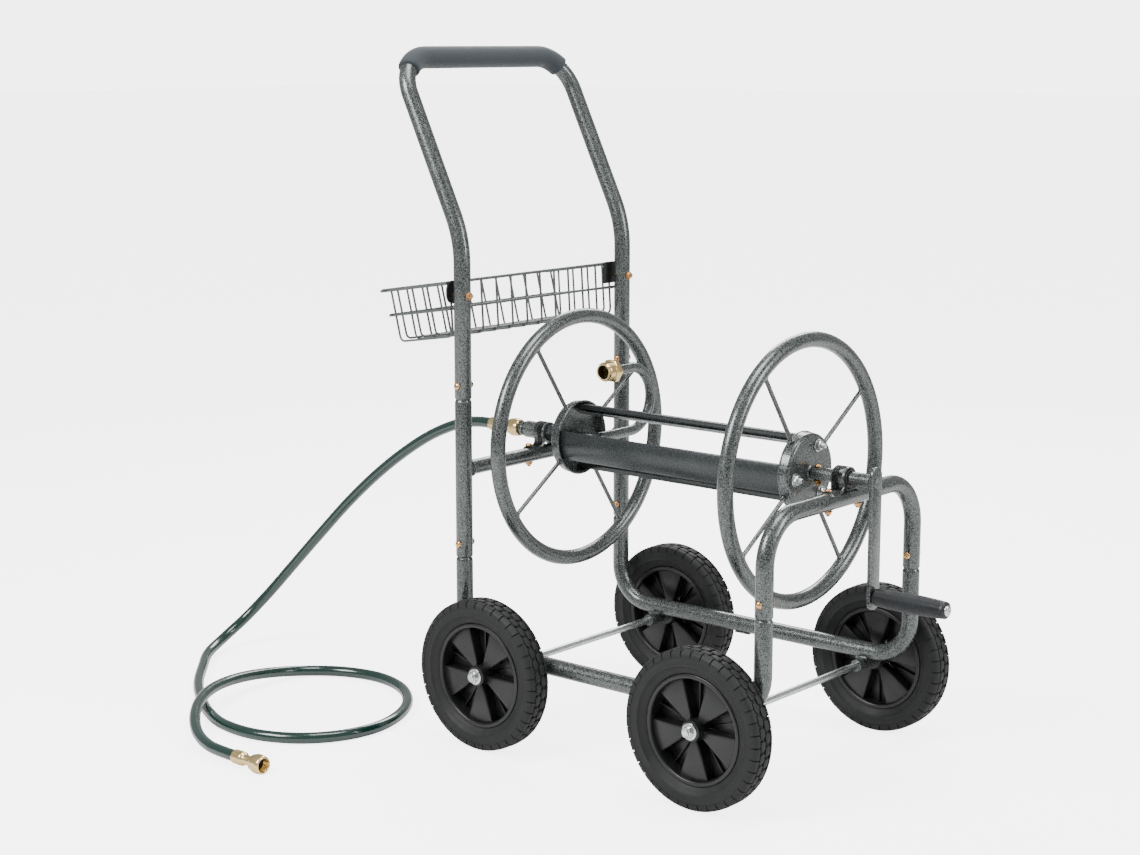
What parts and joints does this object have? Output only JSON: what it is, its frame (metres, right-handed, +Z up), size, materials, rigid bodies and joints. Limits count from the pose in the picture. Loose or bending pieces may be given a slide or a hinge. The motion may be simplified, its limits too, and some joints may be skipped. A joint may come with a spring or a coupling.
{
  "type": "hose reel cart",
  "caption": "Wheeled tube-frame cart with push handle, hand-cranked hose reel on spoked hoops, wire basket, gooseneck outlet and supply hose with brass couplings.",
  "frame": {"origin": "middle of the cart's footprint at ground level, leaving the loose supply hose out", "axes": "+Z up, +X from the push handle towards the crank, +Y to the side that the gooseneck curls over"},
  "size_m": [1.4857, 0.8785, 1.1332],
  "materials": {
    "hammertone_paint": "dark grey-green hammered paint, glossy",
    "smooth_paint": "smooth dark grey powder coat, satin",
    "foam": "closed-cell foam, matt",
    "tyre_rubber": "black rubber, matt",
    "black_plastic": "moulded black plastic, satin",
    "grip_plastic": "black plastic with fine rings",
    "zinc": "bright zinc plate",
    "gold_zinc": "yellow passivated zinc plate",
    "brass": "turned brass",
    "hose_vinyl": "dark green reinforced vinyl, glossy",
    "basket_wire": "plastic-dipped steel wire, dark grey satin",
    "seal_rubber": "black sealing rubber"
  },
  "bodies": {
    "cart": {"handle_tube": "hammertone_paint", "rear_frame": "hammertone_paint", "side_frame_near": "hammertone_paint", "side_frame_far": "hammertone_paint", "front_arch": "hammertone_paint", "swivel_body": "hammertone_paint", "bearing_strap_rear": "hammertone_paint", "bearing_strap_front": "hammertone_paint", "handle_foam_grip": "foam", "front_bush": "black_plastic", "axle_rear": "zinc", "axle_front": "zinc", "axle_nut_rear_near": "zinc", "axle_nut_rear_far": "zinc", "axle_nut_front_near": "zinc", "axle_nut_front_far": "zinc", "frame_bolt_upper_near": "gold_zinc", "frame_bolt_upper_far": "gold_zinc", "frame_bolt_rear_near": "gold_zinc", "frame_bolt_rear_far": "gold_zinc", "frame_bolt_front_near": "gold_zinc", "frame_bolt_front_far": "gold_zinc", "strap_bolt_rear_near": "gold_zinc", "strap_bolt_rear_far": "gold_zinc", "strap_bolt_front_near": "gold_zinc", "strap_bolt_front_far": "gold_zinc", "basket_bolt_near": "gold_zinc", "basket_bolt_far": "gold_zinc", "inlet_ferrule": "brass", "inlet_coupling_nut": "brass", "end_ferrule": "brass", "garden_hose": "hose_vinyl", "wire_basket": "basket_wire"},
    "wheel_rear_near": {"tyre_rear_near": "tyre_rubber", "wheel_hub_rear_near": "black_plastic"},
    "wheel_rear_far": {"tyre_rear_far": "tyre_rubber", "wheel_hub_rear_far": "black_plastic"},
    "wheel_front_near": {"tyre_front_near": "tyre_rubber", "wheel_hub_front_near": "black_plastic"},
    "wheel_front_far": {"tyre_front_far": "tyre_rubber", "wheel_hub_front_far": "black_plastic"},
    "reel": {"reel_hoop_rear": "hammertone_paint", "reel_hoop_front": "hammertone_paint", "reel_dish_rear": "hammertone_paint", "reel_dish_front": "hammertone_paint", "drum_plate_1": "smooth_paint", "drum_plate_2": "smooth_paint", "drum_plate_3": "smooth_paint", "tie_rod_1": "zinc", "tie_rod_2": "zinc", "tie_rod_3": "zinc", "gooseneck_pipe": "hammertone_paint", "outlet_fitting": "brass", "swivel_stem": "smooth_paint", "crank_handle": "hammertone_paint", "crank_bolt": "gold_zinc", "grip_end_screw": "zinc"},
    "crank_grip": {"crank_grip": "grip_plastic"},
    "tap_coupling": {"end_coupling_nut": "brass", "end_seal": "seal_rubber"}
  },
  "joints": [
    {"name": "wheel_rear_near_spin", "type": "hinge", "parent": "cart", "child": "wheel_rear_near", "pos_m": [-0.22809, -0.253, 0.125], "axis": [0, 1, 0], "continuous": true},
    {"name": "wheel_rear_far_spin", "type": "hinge", "parent": "cart", "child": "wheel_rear_far", "pos_m": [-0.22809, 0.253, 0.125], "axis": [0, 1, 0], "continuous": true},
    {"name": "wheel_front_near_spin", "type": "hinge", "parent": "cart", "child": "wheel_front_near", "pos_m": [0.20891, -0.253, 0.125], "axis": [0, 1, 0], "continuous": true},
    {"name": "wheel_front_far_spin", "type": "hinge", "parent": "cart", "child": "wheel_front_far", "pos_m": [0.20891, 0.253, 0.125], "axis": [0, 1, 0], "continuous": true},
    {"name": "reel_spin", "type": "hinge", "parent": "cart", "child": "reel", "pos_m": [-0.31259, 0, 0.482], "axis": [1, 0, 0], "continuous": true},
    {"name": "crank_grip_spin", "type": "hinge", "parent": "reel", "child": "crank_grip", "pos_m": [0.35541, 0, 0.303], "axis": [1, 0, 0], "continuous": true},
    {"name": "tap_coupling_spin", "type": "hinge", "parent": "cart", "child": "tap_coupling", "pos_m": [-0.4697, -0.57751, 0.0158], "axis": [0.9997, -0.0248, 0], "continuous": true}
  ]
}
